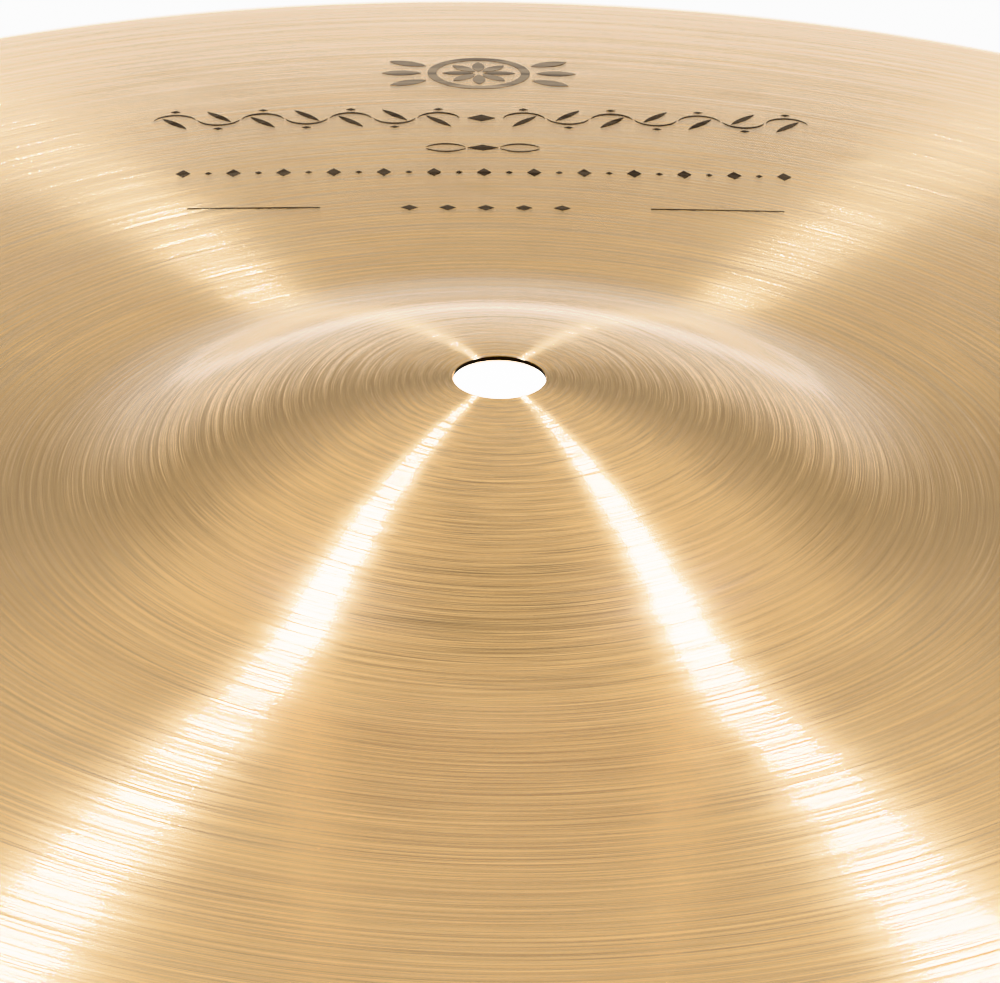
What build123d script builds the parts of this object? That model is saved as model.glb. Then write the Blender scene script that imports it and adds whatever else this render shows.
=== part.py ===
from build123d import *

import os
from math import cos, radians, sin, sqrt

# A 16 inch crash cymbal, one of an orchestral hand pair, without its strap.
# It is one disc of cast, rolled, hammered and lathed bronze: a domed bell in the
# middle, a concave neck round the bell, and a long shallow bow out to the edge.
# The only other things on it are the marks printed in ink on its upper face.
#
# Millimetres, +Z up. The origin is on the axis, halfway down the cylindrical wall
# of the mounting hole. The printed marks lie on the +Y side.

# ---- driving dimensions of the disc -----------------------------------------
DISC_RADIUS = 203.2  # a 16 in disc
HOLE_RADIUS = 6.5
CROWN_RADIUS = 110.0  # arc of the bell's dome, centred on the axis
FLANK_ANGLE = 25.0  # steepest slope of the bell, in degrees
FLANK_LENGTH = 6.0  # straight stretch between dome and neck
NECK_RADIUS = 46.0  # concave arc from the bell into the bow
BOW_START_ANGLE = 0.4  # slope where neck and bow meet, in degrees
BOW_RADIUS = 820.0  # convex arc of the bow

CROWN_THICKNESS = 0.95  # the bell is pressed, so it is thinnest on the axis
NECK_THICKNESS = 1.3
EDGE_THICKNESS = 0.9  # the bow is lathed thinner towards the edge

HOLE_TOP_BREAK = 0.12  # edge breaks round the hole and the outer edge
HOLE_UNDER_CHAMFER = 0.25
OUTER_EDGE_ROUND = 0.35

# ---- driving dimensions of the printed marks --------------------------------
INK_THICKNESS = 0.05
PRINT_CUT_REACH = 60.0  # how far above and below the origin a mark is cut from the ink
PRINT_TURN = 1.6  # the print sits this far round from +Y, in degrees

EMBLEM_AT = 156.0  # distance of each mark from the axis
SCROLL_AT = 132.5
FLOURISH_AT = 118.5
BEAD_ROW_AT = 107.7
RULE_AT = 93.0

EMBLEM_RING_RADIUS = 8.6
EMBLEM_RING_WIDTH = 1.5
EMBLEM_PETALS = 8
EMBLEM_PETAL_SIZE = (5.2, 2.1)  # length and width
EMBLEM_PETAL_GAP = 0.9  # from the centre to a petal's inner tip
EMBLEM_LEAF_SIZE = (6.6, 2.6)
EMBLEM_LEAF_AT = 13.0
EMBLEM_LEAF_ANGLES = (-24.0, 0.0, 24.0)  # fanned out from each side of the ring

SCROLL_FIRST_WAVE = 3.4  # from the scroll's middle to its first wave
SCROLL_WAVES = 7  # on each side of the middle
SCROLL_WAVE_LENGTH = 7.2
SCROLL_WAVE_GAP = 0.3
SCROLL_WAVE_SAGS = (2.9, 2.3)  # outer and inner bulge of a wave
SCROLL_LEAF_SIZE = (6.6, 1.2)
SCROLL_LEAF_ANGLE = 52.0
SCROLL_LEAF_DROP = 1.5  # from the centre line, into the hollow of the wave
SCROLL_BUD_SIZE = (1.5, 1.0)
SCROLL_BUD_RISE = 4.3
SCROLL_MIDDLE_SIZE = (4.6, 3.2)

FLOURISH_LOZENGE = (5.0, 2.6)
FLOURISH_CURL_SPAN = 6.4
FLOURISH_CURL_SAGS = (1.7, 1.2)  # outer and inner bulge of a curl
FLOURISH_GAP = 0.3

BEAD_COUNT = 25
BEAD_SPAN = 96.0
BEAD_LARGE = (2.3, 3.2)
BEAD_SMALL = (1.1, 1.1)

RULE_INNER = 26.0
RULE_OUTER = 47.0
RULE_WIDTH = 0.3
RULE_BEADS = 5
RULE_BEAD_PITCH = 6.0
RULE_BEAD_SIZE = (2.6, 2.0)

FLANK_SIN = sin(radians(FLANK_ANGLE))
FLANK_COS = cos(radians(FLANK_ANGLE))
BOW_START_SIN = sin(radians(BOW_START_ANGLE))


def dome_drop(radius, reach):
    """How far a dome of this radius has fallen at this distance from its axis."""
    return radius - sqrt(radius**2 - reach**2)


def outline_points():
    """Ends of the upper line's crown, flank, neck and bow, and the underside's."""
    # The underside's crown is tangent to its flank and leaves the thinner wall on
    # the axis, so its centre is raised and its radius is smaller.
    centre_rise = (NECK_THICKNESS - CROWN_THICKNESS) / (1 - FLANK_COS)
    under_radius = CROWN_RADIUS - NECK_THICKNESS - centre_rise * FLANK_COS
    upper_drop = dome_drop(CROWN_RADIUS, HOLE_RADIUS)
    under_drop = dome_drop(under_radius, HOLE_RADIUS)
    hole_depth = CROWN_THICKNESS - upper_drop + under_drop
    wall_length = hole_depth - HOLE_TOP_BREAK - HOLE_UNDER_CHAMFER
    apex = wall_length / 2 + HOLE_TOP_BREAK + upper_drop
    crown_centre = apex - CROWN_RADIUS
    under_centre = crown_centre + centre_rise
    crown_end = (CROWN_RADIUS * FLANK_SIN, crown_centre + CROWN_RADIUS * FLANK_COS)
    flank_end = (
        crown_end[0] + FLANK_LENGTH * FLANK_COS,
        crown_end[1] - FLANK_LENGTH * FLANK_SIN,
    )
    neck_centre = (
        flank_end[0] + NECK_RADIUS * FLANK_SIN,
        flank_end[1] + NECK_RADIUS * FLANK_COS,
    )
    bow_start_cos = cos(radians(BOW_START_ANGLE))
    neck_end = (
        neck_centre[0] - NECK_RADIUS * BOW_START_SIN,
        neck_centre[1] - NECK_RADIUS * bow_start_cos,
    )
    bow_centre = (
        neck_end[0] - BOW_RADIUS * BOW_START_SIN,
        neck_end[1] - BOW_RADIUS * bow_start_cos,
    )
    edge_top = (
        DISC_RADIUS,
        bow_centre[1] + sqrt(BOW_RADIUS**2 - (DISC_RADIUS - bow_centre[0]) ** 2),
    )
    return {
        "apex": apex,
        "crown_end": crown_end,
        "flank_end": flank_end,
        "neck_centre": neck_centre,
        "neck_end": neck_end,
        "bow_centre": bow_centre,
        "edge_top": edge_top,
        "under_apex": under_centre + under_radius,
        "under_crown_end": (
            under_radius * FLANK_SIN,
            under_centre + under_radius * FLANK_COS,
        ),
    }


def upper_line(points):
    """The upper surface from the axis to the edge: dome, flank, neck and bow."""
    crown = TangentArc((0, points["apex"]), points["crown_end"], tangent=(1, 0))
    flank = Line(points["crown_end"], points["flank_end"])
    neck = TangentArc(points["flank_end"], points["neck_end"], tangent=flank % 1)
    bow = TangentArc(points["neck_end"], points["edge_top"], tangent=neck % 1)
    return [crown, flank, neck, bow]


def under_line(points):
    """The underside from the axis to the edge, each stretch tangent to the last."""
    crown = TangentArc((0, points["under_apex"]), points["under_crown_end"], tangent=(1, 0))
    slope = Vector(FLANK_COS, -FLANK_SIN)
    normal = Vector(-FLANK_SIN, -FLANK_COS)
    flank_end = Vector(*points["flank_end"]) + normal * NECK_THICKNESS
    flank = Line(points["under_crown_end"], flank_end)
    outer_neck_radius = NECK_RADIUS + NECK_THICKNESS
    neck_end = Vector(*points["neck_centre"]) + outer_neck_radius * Vector(
        -BOW_START_SIN, -cos(radians(BOW_START_ANGLE))
    )
    neck = TangentArc(flank_end, neck_end, tangent=slope)
    edge = Vector(*points["edge_top"]) - Vector(0, EDGE_THICKNESS)
    bow = TangentArc(neck_end, edge, tangent=neck % 1)
    return [crown, flank, neck, bow]


def hole_corners(section):
    """The section's corners on the wall of the centre hole, lowest first."""
    return section.vertices().group_by(Axis.X)[0].sort_by(Axis.Y)


def half_section(points):
    """The disc's section from the hole to the edge, as one face in the XY plane."""
    upper, under = upper_line(points), under_line(points)
    axis_side = Line((0, points["under_apex"]), (0, points["apex"]))
    edge_side = Line(upper[-1] @ 1, under[-1] @ 1)
    section = make_face([*upper, edge_side, *under, axis_side])
    section -= Rectangle(2 * HOLE_RADIUS, 2 * CROWN_RADIUS)
    section = fillet(section.vertices().group_by(Axis.X)[-1], OUTER_EDGE_ROUND)
    section = chamfer(hole_corners(section)[0], HOLE_UNDER_CHAMFER)
    return chamfer(hole_corners(section)[-1], HOLE_TOP_BREAK)


def ink_film(points):
    """A film of ink over the whole bow, for the printed marks to be cut from."""
    bow = upper_line(points)[-1]
    centre = Vector(*points["bow_centre"])

    def raised(point):
        return centre + (point - centre).normalized() * (BOW_RADIUS + INK_THICKNESS)

    inner_side = Line(bow @ 0, raised(bow @ 0))
    outer_side = Line(bow @ 1, raised(bow @ 1))
    top = ThreePointArc(raised(bow @ 0), raised(bow @ 0.5), raised(bow @ 1))
    film = make_face([bow, outer_side, top, inner_side])
    return revolve(Plane.XZ * film, Axis.Z)


def lens(length, width):
    """A pointed leaf along X, from two equal arcs."""
    tip = length / 2
    upper = SagittaArc((-tip, 0), (tip, 0), width / 2)
    lower = SagittaArc((tip, 0), (-tip, 0), width / 2)
    return make_face([upper, lower])


def lozenge(length, width):
    """A diamond with its long axis along X."""
    corners = [(length / 2, 0), (0, width / 2), (-length / 2, 0), (0, -width / 2)]
    return make_face(Polyline(*corners, close=True))


def emblem_faces():
    """A plain rosette in a ring, with leaves fanned out from each side."""
    ring = Circle(EMBLEM_RING_RADIUS) - Circle(EMBLEM_RING_RADIUS - EMBLEM_RING_WIDTH)
    petal_at = EMBLEM_PETAL_GAP + EMBLEM_PETAL_SIZE[0] / 2
    petals = [
        Rot(0, 0, 360 / EMBLEM_PETALS * i) * Pos(petal_at, 0) * lens(*EMBLEM_PETAL_SIZE)
        for i in range(EMBLEM_PETALS)
    ]
    leaves = [
        Rot(0, 0, side + angle) * Pos(EMBLEM_LEAF_AT, 0) * lens(*EMBLEM_LEAF_SIZE)
        for side in (0, 180)
        for angle in EMBLEM_LEAF_ANGLES
    ]
    return [ring, *petals, *leaves]


def crescent(length, outer_sag, inner_sag):
    """A pen stroke along X that swells in the middle, bulging towards +Y."""
    tips = ((-length / 2, 0), (length / 2, 0))
    outer = SagittaArc(*tips, outer_sag)
    inner = SagittaArc(*reversed(tips), -inner_sag)
    return make_face([outer, inner])


def scroll_faces():
    """A running wave of pen strokes, a leaf in each hollow and a bud on each crest."""
    faces = [lozenge(*SCROLL_MIDDLE_SIZE)]
    stroke = SCROLL_WAVE_LENGTH - SCROLL_WAVE_GAP
    for i in range(SCROLL_WAVES):
        along = SCROLL_FIRST_WAVE + SCROLL_WAVE_LENGTH * (i + 0.5)
        flip = 180 * (i % 2)  # every other wave hangs down
        half = [
            crescent(stroke, *SCROLL_WAVE_SAGS),
            Pos(0, -SCROLL_LEAF_DROP) * Rot(0, 0, SCROLL_LEAF_ANGLE) * lens(*SCROLL_LEAF_SIZE),
            Pos(0, SCROLL_BUD_RISE) * lozenge(*SCROLL_BUD_SIZE),
        ]
        placed = [Pos(along, 0) * Rot(0, 0, flip) * face for face in half]
        faces += placed + [mirror(face, Plane.YZ) for face in placed]
    return faces


def flourish_faces():
    """A lozenge between two pairs of tapered curls."""
    faces = [lozenge(*FLOURISH_LOZENGE)]
    along = FLOURISH_LOZENGE[0] / 2 + FLOURISH_CURL_SPAN / 2 + FLOURISH_GAP
    curl = Pos(along, FLOURISH_GAP) * crescent(FLOURISH_CURL_SPAN, *FLOURISH_CURL_SAGS)
    for turned in (curl, mirror(curl, Plane.XZ)):
        faces += [turned, mirror(turned, Plane.YZ)]
    return faces


def bead_row_faces():
    """A straight row of lozenges, large and small by turns."""
    pitch = BEAD_SPAN / (BEAD_COUNT - 1)
    sizes = (BEAD_LARGE, BEAD_SMALL)
    return [
        Pos(-BEAD_SPAN / 2 + pitch * i, 0) * lozenge(*sizes[i % 2])
        for i in range(BEAD_COUNT)
    ]


def rule_faces():
    """Two thin rules, with a few beads between them."""
    length = RULE_OUTER - RULE_INNER
    middle = (RULE_OUTER + RULE_INNER) / 2
    rules = [Pos(side * middle, 0) * Rectangle(length, RULE_WIDTH) for side in (-1, 1)]
    first = -(RULE_BEADS - 1) / 2 * RULE_BEAD_PITCH
    beads = [
        Pos(first + RULE_BEAD_PITCH * i, 0) * lozenge(*RULE_BEAD_SIZE)
        for i in range(RULE_BEADS)
    ]
    return [*rules, *beads]


def printed(film, faces, distance):
    """Flat faces, set out at this distance from the axis, as solid pieces of ink."""
    place = Rot(0, 0, PRINT_TURN) * Pos(0, distance, -PRINT_CUT_REACH)
    cutters = [extrude(place * face, 2 * PRINT_CUT_REACH, dir=(0, 0, 1)) for face in faces]
    pieces = [solid for cutter in cutters for solid in (film & cutter).solids()]
    return Compound(children=pieces)


def main():
    points = outline_points()
    film = ink_film(points)
    nodes = {
        "cymbal_plate": revolve(Plane.XZ * half_section(points), Axis.Z),
        "printed_emblem": printed(film, emblem_faces(), EMBLEM_AT),
        "printed_scroll": printed(film, scroll_faces(), SCROLL_AT),
        "printed_flourish": printed(film, flourish_faces(), FLOURISH_AT),
        "printed_bead_row": printed(film, bead_row_faces(), BEAD_ROW_AT),
        "printed_rules": printed(film, rule_faces(), RULE_AT),
    }
    os.makedirs("parts", exist_ok=True)
    for name, shape in nodes.items():
        export_step(shape, f"parts/{name}.step")


main()
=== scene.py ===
import math
import random
from typing import NamedTuple

import bpy
import numpy as np
from mathutils import Matrix, Vector


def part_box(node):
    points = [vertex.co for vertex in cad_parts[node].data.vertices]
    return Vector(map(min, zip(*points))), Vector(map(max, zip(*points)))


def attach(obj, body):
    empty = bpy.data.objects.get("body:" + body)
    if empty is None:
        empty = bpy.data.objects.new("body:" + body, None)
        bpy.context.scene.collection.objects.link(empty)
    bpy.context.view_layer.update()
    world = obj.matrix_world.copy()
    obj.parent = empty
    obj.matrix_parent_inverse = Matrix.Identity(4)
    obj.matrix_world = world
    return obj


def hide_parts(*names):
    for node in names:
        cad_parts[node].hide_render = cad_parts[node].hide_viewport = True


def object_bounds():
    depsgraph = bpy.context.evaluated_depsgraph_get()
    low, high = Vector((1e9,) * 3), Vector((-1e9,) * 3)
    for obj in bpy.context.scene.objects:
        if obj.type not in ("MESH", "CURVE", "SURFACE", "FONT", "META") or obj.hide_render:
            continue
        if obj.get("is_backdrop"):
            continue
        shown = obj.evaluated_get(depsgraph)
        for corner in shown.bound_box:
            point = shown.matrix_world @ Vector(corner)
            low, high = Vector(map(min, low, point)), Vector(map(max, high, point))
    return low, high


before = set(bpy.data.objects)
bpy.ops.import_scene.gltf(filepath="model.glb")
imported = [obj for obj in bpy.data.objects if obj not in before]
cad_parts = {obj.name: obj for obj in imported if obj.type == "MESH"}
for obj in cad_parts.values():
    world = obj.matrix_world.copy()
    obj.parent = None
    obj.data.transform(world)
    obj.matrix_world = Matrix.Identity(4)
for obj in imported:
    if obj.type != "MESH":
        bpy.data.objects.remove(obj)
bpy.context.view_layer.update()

# A lathed bronze crash cymbal. The plate is one turned skin with its lathe rings and
# hammer marks in the mesh. The printed marks keep their CAD meshes and get inks.

MM = 0.001

# ---- outline of the plate: the same driving dimensions as the CAD part ------------
PLATE_LOW, PLATE_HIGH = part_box("cymbal_plate")
DISC_RADIUS = PLATE_HIGH.x
HOLE_RADIUS = 6.5 * MM
CROWN_RADIUS = 110.0 * MM
FLANK_ANGLE = math.radians(25.0)
FLANK_LENGTH = 6.0 * MM
NECK_RADIUS = 46.0 * MM
BOW_START_ANGLE = math.radians(0.4)
BOW_RADIUS = 820.0 * MM
CROWN_THICKNESS = 0.95 * MM
NECK_THICKNESS = 1.3 * MM
EDGE_THICKNESS = 0.9 * MM
HOLE_TOP_BREAK = 0.12 * MM
HOLE_UNDER_CHAMFER = 0.25 * MM
OUTER_EDGE_ROUND = 0.35 * MM
OUTER_EDGE_TURNS = (80, 60, 40, 20, 3, -3, -20, -40, -60, -80)  # degrees round the outer edge
CORNER = 0.02 * MM  # size of the small break that rounds a corner of the hole
SLOPE_STEP = 0.05 * MM

# ---- lathe rings: their pitches, and the deepest cut in each stretch --------------
SEGMENTS = 320
CROWN_START = 1.8 * MM  # from the hole's wall to the crown's first ring
CROWN_PITCH = 1.0 * MM
CROWN_CUT = 0.006 * MM
BELL_RINGS_START = 19.0 * MM
BELL_RINGS_END = 66.0 * MM
BELL_PITCHES = (0.9, 2.3)  # millimetres
BELL_CUTS = (0.006, 0.024)  # shares of the pitch
BELL_WAVES = [1, 1, 2, 3]  # how many times a ring's depth can rise and fall in a turn
CREST = 0.25  # where a ring's ridge is, as a share of its pitch
SECOND_CUT = 0.62  # where its second cut is
SECOND_DEPTH = 0.55  # the second cut's depth beside the first one's
NECK_PITCH = 0.9 * MM
NECK_CUT = 0.012 * MM
BOW_RINGS_START = 90.0 * MM
BOW_PITCH = 1.15 * MM
BOW_CUT = 0.004 * MM
EDGE_GAP = 1.2 * MM
UNDER_START = 0.7 * MM  # from the hole's wall
UNDER_PITCH = 4.2 * MM
UNDER_EDGE_GAP = 1.0 * MM
UNDER_CUT = 0.02 * MM
PITCH_SPREAD = 0.3  # how uneven the pitches are
UNEVEN = 0.6  # how much a cut's depth changes within a turn
UNEVEN_SHIFT = 7.0  # how far that change moves round the disc from cut to cut, per millimetre
CUT_WANDER = 0.25 * MM  # how far the cuts leave true circles
WANDER_WAVES = 2  # times a turn
WANDER_TWIST = 40  # how far that wandering turns between hole and edge, in radians
# a fine groove turned just outside the hole: (distance from the hole, depth)
HOLE_GROOVE = [
    (0.13 * MM, 0.0),
    (0.35 * MM, 0.0),
    (0.50 * MM, 0.0),
    (0.60 * MM, 0.06 * MM),
    (0.72 * MM, 0.06 * MM),
    (0.84 * MM, 0.0),
    (1.05 * MM, 0.0),
    (1.40 * MM, 0.0),
]

# ---- hammer marks -----------------------------------------------------------------
DENT_RINGS_START = 78 * MM
DENT_RINGS_PITCH = 17 * MM
DENT_EDGE_GAP = 8 * MM
RADIUS_PER_DENT = 4.8 * MM  # a ring has one dent for each such length of its radius
DENT_TURN_SPREAD = 0.35
DENT_SPREAD = 5 * MM
DENT_SIZES = (3.2, 5.6)  # millimetres
DENT_DEPTH = 0.10 * MM
DENT_BLOWS = (0.1, 1.0)  # how hard a blow is; its depth goes by the square
DENT_FALLOFF = 1.5

# ---- bronze: how far each kind of lathe mark tilts the surface --------------------
HAIR_TILT = 3.3
WEAVE_TILT = 0.012
FEED_TILT = 0.015
WOBBLE_TILT = 0.03
DRIFT_TILT = 0.025
FEED_PITCH = 1.25 * MM
BRONZE_DARK = (0.86, 0.523, 0.204)
BRONZE_LIGHT = (0.945, 0.595, 0.243)

# ---- camera and light -------------------------------------------------------------
CAMERA_AT = (0, -0.66206, 0.33620)
CAMERA_YAW = 0.00052
CAMERA_PITCH = 0.49104
CAMERA_ROLL = 0.01711
CAMERA_LENS = 190.67
CAMERA_SENSOR = 36
# the studio round the object: (elevation in degrees, brightness behind it, in front of it)
DOME = [
    (0, 0.50, 0.30),
    (8, 0.98, 0.30),
    (16, 0.58, 0.22),
    (24, 0.36, 0.22),
    (32, 0.62, 0.18),
    (42, 1.00, 0.18),
    (54, 1.08, 0.22),
    (68, 0.95, 0.35),
    (90, 0.60, 0.50),
]
COOL = (0.42, 0.58, 1.0)
# the table's own light: (distance from the plate's axis in metres, share of its peak)
GLOW = [(0.10, 1.0), (0.17, 0.16), (0.20, 0.30), (0.24, 0.30), (0.40, 0.16)]
GLOW_REACH = 0.4
GLOW_PEAK = 9.0
FLOOR_HALF = 20


class Outline:
    """Height of the plate's upper face over the radius: dome, flank, neck and bow."""

    def __init__(self):
        sin_f, cos_f = math.sin(FLANK_ANGLE), math.cos(FLANK_ANGLE)
        self.flank_start = CROWN_RADIUS * sin_f
        self.flank_end = self.flank_start + FLANK_LENGTH * cos_f
        self.bow_start = self.flank_end + NECK_RADIUS * (sin_f - math.sin(BOW_START_ANGLE))
        self.crown_drop = CROWN_RADIUS * (1 - cos_f)
        self.flank_drop = self.crown_drop + FLANK_LENGTH * sin_f
        self.neck_drop = self.flank_drop + NECK_RADIUS * (math.cos(BOW_START_ANGLE) - cos_f)
        # the origin is halfway down the hole's wall, so the dome's top is this far above it
        rise = (NECK_THICKNESS - CROWN_THICKNESS) / (1 - cos_f)
        under_radius = CROWN_RADIUS - NECK_THICKNESS - rise * cos_f
        upper, under = (r - math.sqrt(r**2 - HOLE_RADIUS**2) for r in (CROWN_RADIUS, under_radius))
        wall = CROWN_THICKNESS - upper + under - HOLE_TOP_BREAK - HOLE_UNDER_CHAMFER
        self.apex = wall / 2 + HOLE_TOP_BREAK + upper

    def height(self, r):
        """Height at each radius."""
        r = np.asarray(r, float)
        sin_f, cos_f = math.sin(FLANK_ANGLE), math.cos(FLANK_ANGLE)
        dome = CROWN_RADIUS - np.sqrt(CROWN_RADIUS**2 - np.minimum(r, self.flank_start) ** 2)
        flank = self.crown_drop + math.tan(FLANK_ANGLE) * (r - self.flank_start)
        across = np.clip((self.flank_end - r) / NECK_RADIUS + sin_f, 0, 1)
        neck = self.flank_drop + NECK_RADIUS * (np.sqrt(1 - across**2) - cos_f)
        along = np.clip(math.sin(BOW_START_ANGLE) + (r - self.bow_start) / BOW_RADIUS, 0, 1)
        bow = self.neck_drop + BOW_RADIUS * (math.cos(BOW_START_ANGLE) - np.sqrt(1 - along**2))
        inside = [r < self.flank_start, r < self.flank_end, r < self.bow_start]
        return self.apex - np.select(inside, [dome, flank, neck], bow)

    def thickness(self, r):
        """Wall thickness square to the surface: thin on the crown and at the edge."""
        r = np.asarray(r, float)
        on_bell = CROWN_THICKNESS + (NECK_THICKNESS - CROWN_THICKNESS) * (r / self.flank_start) ** 2
        share = (r - self.bow_start) / (DISC_RADIUS - self.bow_start)
        on_bow = NECK_THICKNESS + (EDGE_THICKNESS - NECK_THICKNESS) * share
        inside = [r < self.flank_start, r < self.bow_start]
        return np.select(inside, [on_bell, NECK_THICKNESS], on_bow)

    def slope(self, r):
        """Steepness of the upper face, downwards and outwards."""
        before, after = np.asarray(r) - SLOPE_STEP, np.asarray(r) + SLOPE_STEP
        return (self.height(before) - self.height(after)) / (2 * SLOPE_STEP)


# ---- the plate's skin -------------------------------------------------------------
class Row(NamedTuple):
    """One ring of mesh points: its radius, its height, how deep it is cut and how unevenly."""

    radius: float
    height: float
    cut: float = 0.0
    waves: int = 0


def spaced(rng, start, end, mean_pitch):
    """Radii from start to just short of end, unevenly spaced about a mean pitch."""
    low, high = 1 - PITCH_SPREAD, 1 + PITCH_SPREAD
    radii = [start]
    while radii[-1] < end - high * mean_pitch:
        radii.append(radii[-1] + mean_pitch * rng.uniform(low, high))
    return radii


def hole_rows(outline):
    """Rows of the hole's wall, from the underside's chamfer up to its broken top edge."""
    top = float(outline.height(HOLE_RADIUS))
    bottom = top - float(outline.thickness(HOLE_RADIUS))
    return [
        Row(HOLE_RADIUS + HOLE_UNDER_CHAMFER, bottom),
        Row(HOLE_RADIUS + CORNER, bottom + HOLE_UNDER_CHAMFER - CORNER),
        Row(HOLE_RADIUS, bottom + HOLE_UNDER_CHAMFER + CORNER),
        Row(HOLE_RADIUS, top - HOLE_TOP_BREAK - CORNER),
        Row(HOLE_RADIUS + CORNER, top - HOLE_TOP_BREAK + CORNER),
        Row(HOLE_RADIUS + HOLE_TOP_BREAK / 2, top - HOLE_TOP_BREAK / 3),
    ]


def upper_rows(rng, outline):
    """Rows of the upper face from the hole to the edge, with the lathe's cuts in them."""

    def row(radius, cut=0.0, waves=0):
        return Row(radius, float(outline.height(radius)), cut, waves)

    rows = []
    for offset, cut in HOLE_GROOVE:
        rows.append(row(HOLE_RADIUS + offset, cut))
    for radius in spaced(rng, HOLE_RADIUS + CROWN_START, BELL_RINGS_START, CROWN_PITCH):
        rows.append(row(radius, CROWN_CUT * rng.random()))
    radius = BELL_RINGS_START
    while radius < BELL_RINGS_END:
        pitch = rng.uniform(*BELL_PITCHES) * MM
        depth = pitch * rng.uniform(*BELL_CUTS)
        waves = rng.choice(BELL_WAVES)
        rows.append(row(radius, depth, waves))
        rows.append(row(radius + CREST * pitch, 0.0, waves))
        rows.append(row(radius + SECOND_CUT * pitch, SECOND_DEPTH * depth, waves))
        radius += pitch
    for radius in spaced(rng, radius, BOW_RINGS_START, NECK_PITCH):
        rows.append(row(radius, NECK_CUT * rng.random(), 1))
    for radius in spaced(rng, BOW_RINGS_START, DISC_RADIUS - EDGE_GAP, BOW_PITCH):
        rows.append(row(radius, BOW_CUT * rng.random(), 1))
    return rows


def edge_rows(outline):
    """Rows round the outer edge, rounded above and below."""
    middle = float(outline.height(DISC_RADIUS)) - EDGE_THICKNESS / 2
    flat = EDGE_THICKNESS / 2 - OUTER_EDGE_ROUND
    rows = []
    for turn in np.radians(OUTER_EDGE_TURNS):
        radius = DISC_RADIUS - OUTER_EDGE_ROUND * (1 - math.cos(turn))
        height = middle + math.copysign(flat, turn) + OUTER_EDGE_ROUND * math.sin(turn)
        rows.append(Row(radius, height))
    return rows


def under_rows(rng, outline):
    """Rows of the underside from the edge in to the hole."""
    rows = []
    start, end = HOLE_RADIUS + UNDER_START, DISC_RADIUS - UNDER_EDGE_GAP
    for radius in reversed(spaced(rng, start, end, UNDER_PITCH)):
        slant = math.hypot(1, float(outline.slope(radius)))
        height = float(outline.height(radius) - outline.thickness(radius) * slant)
        rows.append(Row(radius, height, -UNDER_CUT * rng.random(), 1))
    return rows


class Dents:
    """Small round hammer marks, laid out ring by ring with some disorder."""

    def __init__(self, rng):
        self.marks = []
        for ring in np.arange(DENT_RINGS_START, DISC_RADIUS - DENT_EDGE_GAP, DENT_RINGS_PITCH):
            count = int(ring / RADIUS_PER_DENT)
            for i in range(count):
                turn = (i + rng.uniform(-DENT_TURN_SPREAD, DENT_TURN_SPREAD)) * math.tau / count
                radius = ring + rng.uniform(-DENT_SPREAD, DENT_SPREAD)
                size = rng.uniform(*DENT_SIZES) * MM
                depth = rng.uniform(*DENT_BLOWS) ** 2 * DENT_DEPTH
                self.marks.append((radius * math.cos(turn), radius * math.sin(turn), size, depth))

    def depth(self, x, y):
        """How deep the marks are together at each point."""
        total = np.zeros_like(x)
        for mark_x, mark_y, size, depth in self.marks:
            near = ((x - mark_x) ** 2 + (y - mark_y) ** 2) / size**2
            total += depth * np.exp(-DENT_FALLOFF * near)
        return total


def skin_points(rows, outline, dents):
    """Every point of the skin, row by row."""
    turns = np.arange(SEGMENTS) * math.tau / SEGMENTS
    radii, heights, cuts, waves = (np.array(column)[:, None] for column in zip(*rows))
    phases = UNEVEN_SHIFT * radii / MM
    # the cuts wander a little off true circles, least at the hole and the edge
    share = np.clip((radii - HOLE_RADIUS) / (DISC_RADIUS - HOLE_RADIUS), 0, 1)
    waviness = np.sin(WANDER_WAVES * turns + WANDER_TWIST * share)
    wander = CUT_WANDER * np.sin(math.pi * share) * waviness
    x = (radii + wander) * np.cos(turns)
    y = (radii + wander) * np.sin(turns)
    uneven = 1 + UNEVEN * np.where(waves > 0, np.cos(waves * turns + phases), 0)
    z = heights - outline.slope(radii) * wander - cuts * uneven - dents.depth(x, y)
    return np.stack([x, y, z], -1).reshape(-1, 3)


def skin_quads(row_count):
    """Faces between each row and the next, the last row joining the first."""
    here = np.arange(row_count * SEGMENTS).reshape(row_count, SEGMENTS)
    after = np.roll(here, -1, 0)
    corners = [here, np.roll(here, -1, 1), np.roll(after, -1, 1), after]
    return np.stack(corners, -1).reshape(-1, 4)


def add_mesh(name, points, faces):
    """A new object in the scene with this mesh."""
    mesh = bpy.data.meshes.new(name)
    mesh.from_pydata(points, [], faces)
    made = bpy.data.objects.new(name, mesh)
    bpy.context.scene.collection.objects.link(made)
    return made


def build_plate():
    """The bronze plate: one turned skin with its lathe cuts and hammer marks."""
    rng = random.Random(41)
    outline = Outline()
    dents = Dents(rng)
    rows = hole_rows(outline) + upper_rows(rng, outline) + edge_rows(outline) + under_rows(rng, outline)
    points = skin_points(rows, outline, dents)
    plate = add_mesh("cymbal_plate_lathed", points.tolist(), skin_quads(len(rows)).tolist())
    plate.data.shade_smooth()
    plate.data.materials.append(bronze())
    plate.data.materials.append(painted_shade_wall())
    # the hole's wall faces take the second material, its near-black painted shade
    for face in plate.data.polygons:
        if math.hypot(face.center.x, face.center.y) < HOLE_RADIUS + CORNER:
            face.material_index = 1
    return plate


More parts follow.
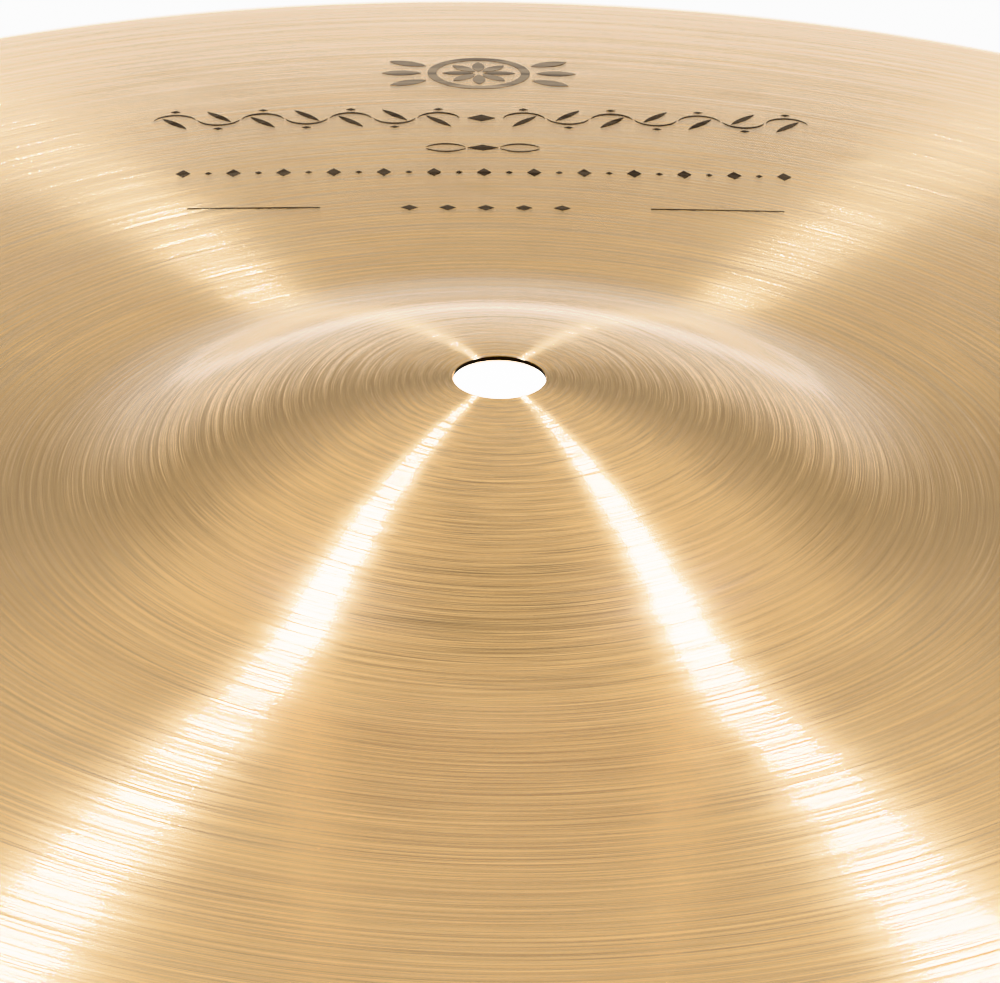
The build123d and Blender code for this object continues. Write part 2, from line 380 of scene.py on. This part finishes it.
# ---- node helpers -----------------------------------------------------------------
class Graph:
    """Short hand for wiring the nodes of one material or world."""

    def __init__(self, tree):
        self.tree = tree

    def node(self, kind, settings=None, **inputs):
        """A new node: its settings by name, its inputs with _ for a space."""
        made = self.tree.nodes.new(kind)
        for key, value in (settings or {}).items():
            setattr(made, key, value)
        for key, value in inputs.items():
            self.plug(made.inputs[key.replace("_", " ")], value)
        return made

    def plug(self, socket, value):
        """Links an output to the socket, or sets a plain value on it."""
        if isinstance(value, bpy.types.NodeSocket):
            self.tree.links.new(value, socket)
        else:
            socket.default_value = value

    def operate(self, kind, operation, values):
        made = self.node(kind, {"operation": operation})
        for socket, value in zip(made.inputs, values):
            self.plug(socket, value)
        return made

    def math(self, operation, *values):
        return self.operate("ShaderNodeMath", operation, values).outputs[0]

    def vector(self, operation, *values):
        return self.operate("ShaderNodeVectorMath", operation, values).outputs[0]

    def length(self, vector):
        return self.operate("ShaderNodeVectorMath", "LENGTH", [vector]).outputs["Value"]

    def scale(self, vector, factor):
        made = self.operate("ShaderNodeVectorMath", "SCALE", [vector])
        self.plug(made.inputs["Scale"], factor)
        return made.outputs[0]

    def total(self, *weighted):
        """Sum of values, each times its weight."""
        running = 0.0
        for value, weight in weighted:
            running = self.math("MULTIPLY_ADD", value, weight, running)
        return running

    def combine(self, x, y, z):
        return self.node("ShaderNodeCombineXYZ", X=x, Y=y, Z=z).outputs[0]

    def split(self, vector):
        return self.node("ShaderNodeSeparateXYZ", Vector=vector).outputs

    def noise(self, vector, scale=1.0, detail=2.0, roughness=0.5):
        inputs = {"Vector": vector, "Scale": scale, "Detail": detail, "Roughness": roughness}
        return self.node("ShaderNodeTexNoise", **inputs).outputs["Fac"]

    def ramp(self, factor, stops):
        """A colour ramp with these (position, colour) stops."""
        made = self.node("ShaderNodeValToRGB", Fac=factor)
        elements = made.color_ramp.elements
        while len(elements) < len(stops):
            elements.new(0.5)
        for element, (position, colour) in zip(elements, stops):
            element.position = position
            element.color = (*colour, 1)
        return made.outputs["Color"]

    def mix(self, factor, a, b):
        """Colour a at factor 0 and b at factor 1."""
        made = self.node("ShaderNodeMix", {"data_type": "RGBA"}, Factor=factor)
        self.plug(made.inputs[6], a)
        self.plug(made.inputs[7], b)
        return made.outputs[2]


def new_material(name):
    """An empty material and the short hand for wiring it."""
    material = bpy.data.materials.new(name)
    material.use_nodes = True
    material.node_tree.nodes.clear()
    return material, Graph(material.node_tree)


class Turned:
    """Polar directions and lathe-line fields of a turned surface about the Z axis."""

    def __init__(self, graph):
        self.graph = graph
        self.place = graph.node("ShaderNodeTexCoord").outputs["Object"]
        x, y, self.height = graph.split(self.place)
        flat = graph.combine(x, y, 0.0)
        self.radius = graph.length(flat)
        self.outward = graph.vector("NORMALIZE", flat)
        self.around = graph.vector("CROSS_PRODUCT", (0.0, 0.0, 1.0), self.outward)

    def lines(self, pitch, arcs, detail=2.0, roughness=0.5, shift=0.0):
        """Noise drawn out along the lathe's cuts: pitch across them, arcs round the disc."""
        g = self.graph
        across = g.math("ADD", g.math("DIVIDE", self.radius, pitch), shift)
        along = g.scale(self.outward, arcs)
        spread = g.vector("ADD", along, g.combine(0.0, 0.0, across))
        return g.noise(spread, detail=detail, roughness=roughness)

    def grain(self, pitch, arcs, **noise):
        """The same lines as a signed number about 0."""
        return self.graph.math("SUBTRACT", self.lines(pitch, arcs, **noise), 0.5)

    def feed(self):
        """The tool's feed leaves one shallow wave a turn, which wanders and comes and goes."""
        g = self.graph
        turns = g.total((self.radius, 1 / FEED_PITCH), (self.lines(7.0 * MM, 1.5, shift=210.0), 1.0))
        wave = g.math("SINE", g.math("MULTIPLY", turns, math.tau))
        return g.math("MULTIPLY", wave, self.lines(9.0 * MM, 1.2, shift=260.0))

    def tilted(self, sideways, outwards):
        """The surface's normal, tilted round the disc and outwards by these shares."""
        g = self.graph
        normal = g.node("ShaderNodeNewGeometry").outputs["Normal"]
        tilt = g.vector("ADD", g.scale(self.around, sideways), g.scale(self.outward, outwards))
        return g.vector("NORMALIZE", g.vector("ADD", normal, tilt))


# ---- materials --------------------------------------------------------------------
def principled(g, **inputs):
    """A Principled shader and the material's output, wired together."""
    shader = g.node("ShaderNodeBsdfPrincipled", **inputs)
    g.node("ShaderNodeOutputMaterial", Surface=shader.outputs[0])
    return shader


def bronze():
    """Lathed bronze: fine cuts round the axis spread the light across them."""
    material, g = new_material("cast_bronze")
    t = Turned(g)
    hair = t.grain(0.05 * MM, 1.6, detail=2.0, roughness=0.6)
    weave = t.grain(1.4 * MM, 1.2, detail=3.0, shift=31.0)
    wobble = t.grain(0.55 * MM, 5.0, detail=2.0, shift=77.0)
    drift = t.grain(3.5 * MM, 5.0, detail=3.0, shift=150.0)
    feed = t.feed()
    patches = g.math("SUBTRACT", g.noise(t.place, scale=60.0, detail=3.0), 0.5)
    sideways = g.total((wobble, WOBBLE_TILT), (drift, DRIFT_TILT))
    outwards = g.total((hair, HAIR_TILT), (weave, WEAVE_TILT), (feed, FEED_TILT))
    tone = g.math("ADD", g.total((weave, 0.05), (patches, 0.5), (feed, 0.36)), 0.5)
    shader = principled(g, Metallic=1.0, Roughness=0.16, Anisotropic=1.0, Anisotropic_Rotation=0.25)
    shader.inputs["Coat Weight"].default_value = 1.0
    shader.inputs["Coat Roughness"].default_value = 0.17
    g.plug(shader.inputs["Base Color"], g.ramp(tone, [(0.25, BRONZE_DARK), (0.75, BRONZE_LIGHT)]))
    g.plug(shader.inputs["Normal"], t.tilted(sideways, outwards))
    tangent = g.node("ShaderNodeTangent", {"direction_type": "RADIAL", "axis": "Z"})
    g.plug(shader.inputs["Tangent"], tangent.outputs[0])
    return material


def painted_shade_wall():
    """The drilled wall of the hole, never polished; its near-black colour is painted shade inside the
    hole.
    """
    material, g = new_material("hole_wall")
    layers = g.math("DIVIDE", Turned(g).height, 0.06 * MM)
    band = g.noise(g.combine(0.0, 0.0, layers), detail=3.0)
    # near-black colour: painted shade on the hole's wall
    colour = g.ramp(band, [(0.3, (0.001, 0.0007, 0.0004)), (0.7, (0.005, 0.003, 0.0015))])
    shader = principled(g, Base_Color=colour, Roughness=0.7)
    shader.inputs["Specular IOR Level"].default_value = 0.02
    return material


def ink(name, dark, worn, cover):
    """Thin print that lets the lathe lines show through where they wore it."""
    material, g = new_material(name)
    t = Turned(g)
    fine = t.lines(0.9 * MM, 1.6, detail=3.0)
    broad = t.lines(2.2 * MM, 1.2, shift=5.0)
    line = g.total((fine, 0.6), (broad, 0.4))
    tint = g.ramp(line, [(0.38, dark), (0.62, worn)])
    shader = g.node("ShaderNodeBsdfPrincipled", Base_Color=tint, Roughness=0.55)
    shader.inputs["Specular IOR Level"].default_value = 0.06
    strength = g.node("ShaderNodeMapRange", Value=line, From_Min=0.40, From_Max=0.62)
    g.plug(strength.inputs["To Min"], cover[0])
    g.plug(strength.inputs["To Max"], cover[1])
    film = g.node("ShaderNodeMixShader")
    sources = (strength, g.node("ShaderNodeBsdfTransparent"), shader)
    for socket, source in zip(film.inputs, sources):
        g.plug(socket, source.outputs[0])
    g.node("ShaderNodeOutputMaterial", Surface=film.outputs[0])
    return material


def studio_floor():
    """A plain pale table, lit from below, most of all under the plate."""
    material, g = new_material("pale_table")
    radius = g.length(g.node("ShaderNodeTexCoord").outputs["Object"])
    share = g.math("DIVIDE", radius, GLOW_REACH)
    glow = g.ramp(share, [(reach / GLOW_REACH, (part,) * 3) for reach, part in GLOW])
    shader = principled(g, Base_Color=(0.0, 0.0, 0.0, 1), Roughness=0.9)
    shader.inputs["Specular IOR Level"].default_value = 0.0
    shader.inputs["Emission Color"].default_value = (1, 1, 1, 1)
    g.plug(shader.inputs["Emission Strength"], g.math("MULTIPLY", glow, GLOW_PEAK))
    return material


def ink_marks():
    """Emblem in grey-brown ink, every other printed mark in dark brown."""
    emblem_ink = ink("emblem_ink", (0.055, 0.032, 0.014), (0.15, 0.088, 0.037), (0.97, 0.74))
    line_ink = ink("line_ink", (0.012, 0.006, 0.002), (0.045, 0.025, 0.010), (1.0, 0.70))
    for name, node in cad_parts.items():
        if name.startswith("printed_"):
            node.data.materials.clear()
            node.data.materials.append(emblem_ink if name == "printed_emblem" else line_ink)


# ---- the studio -------------------------------------------------------------------
def placed(x_axis, y_axis, z_axis, at):
    """The matrix of an object with these axes at this place."""
    matrix = Matrix((x_axis, y_axis, z_axis)).transposed().to_4x4()
    matrix.translation = at
    return matrix


def direction(azimuth, elevation):
    """Unit vector towards this azimuth and elevation, in radians."""
    level = math.cos(elevation)
    return Vector((math.cos(azimuth) * level, math.sin(azimuth) * level, math.sin(elevation)))


def add_camera():
    """The camera behind the photograph."""
    forward = direction(math.pi / 2 - CAMERA_YAW, -CAMERA_PITCH)
    right = direction(-CAMERA_YAW, 0)
    up = right.cross(forward)
    turned_right = right * math.cos(CAMERA_ROLL) + up * math.sin(CAMERA_ROLL)
    turned_up = up * math.cos(CAMERA_ROLL) - right * math.sin(CAMERA_ROLL)
    data = bpy.data.cameras.new("camera")
    data.lens = CAMERA_LENS
    data.sensor_width = CAMERA_SENSOR
    data.clip_start = 0.01
    data.clip_end = 50
    camera = bpy.data.objects.new("camera", data)
    camera.matrix_world = placed(turned_right, turned_up, -forward, CAMERA_AT)
    bpy.context.scene.collection.objects.link(camera)
    bpy.context.scene.camera = camera


def add_strip(name, azimuth, elevation, distance, streak_azimuth, size, power):
    """A strip light across whose width the plate's streak at streak_azimuth runs."""
    outward = direction(math.radians(azimuth), math.radians(elevation))
    around = direction(math.radians(streak_azimuth + 90), 0)
    along = around.cross(outward).normalized()
    data = bpy.data.lights.new(name, "AREA")
    data.shape = "RECTANGLE"
    data.size, data.size_y = size
    data.energy = power
    data.color = COOL
    light = bpy.data.objects.new(name, data)
    light.matrix_world = placed(along.cross(outward), along, outward, outward * distance)
    light.visible_camera = False
    bpy.context.scene.collection.objects.link(light)


def add_world():
    """A studio dome whose brightness goes by elevation, and from behind the object to its front."""
    world = bpy.data.worlds.new("studio")
    world.use_nodes = True
    g = Graph(world.node_tree)
    x, y, z = g.split(g.node("ShaderNodeTexCoord").outputs["Generated"])
    level = g.vector("NORMALIZE", g.combine(x, y, 0.0))
    behind = g.math("MULTIPLY_ADD", g.split(level)["Y"], 0.5, 0.5)
    heights, back, front = zip(*DOME)
    heights = [math.sin(math.radians(height)) for height in heights]
    sides = []
    for brightness in (front, back):
        sides.append(g.ramp(z, [(height, (value,) * 3) for height, value in zip(heights, brightness)]))
    g.plug(world.node_tree.nodes["Background"].inputs["Color"], g.mix(behind, *sides))
    bpy.context.scene.world = world


def add_floor(height):
    """A wide flat table under the object."""
    corners = [(-1, -1), (1, -1), (1, 1), (-1, 1)]
    points = [(FLOOR_HALF * x, FLOOR_HALF * y, height) for x, y in corners]
    floor = add_mesh("floor", points, [(0, 1, 2, 3)])
    floor.data.materials.append(studio_floor())
    floor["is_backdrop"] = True


plate = build_plate()
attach(plate, "root")
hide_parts("cymbal_plate")
ink_marks()

add_camera()
add_floor(min(PLATE_LOW.z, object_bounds()[0].z))
add_world()
add_strip("left_strip", 180, 60, 0.9, streak_azimuth=-120, size=(0.094, 0.10), power=41.0)
add_strip("right_strip", 3, 60, 1.1, streak_azimuth=-61, size=(0.116, 0.12), power=62.0)
bpy.context.scene.view_settings.view_transform = "Khronos PBR Neutral"
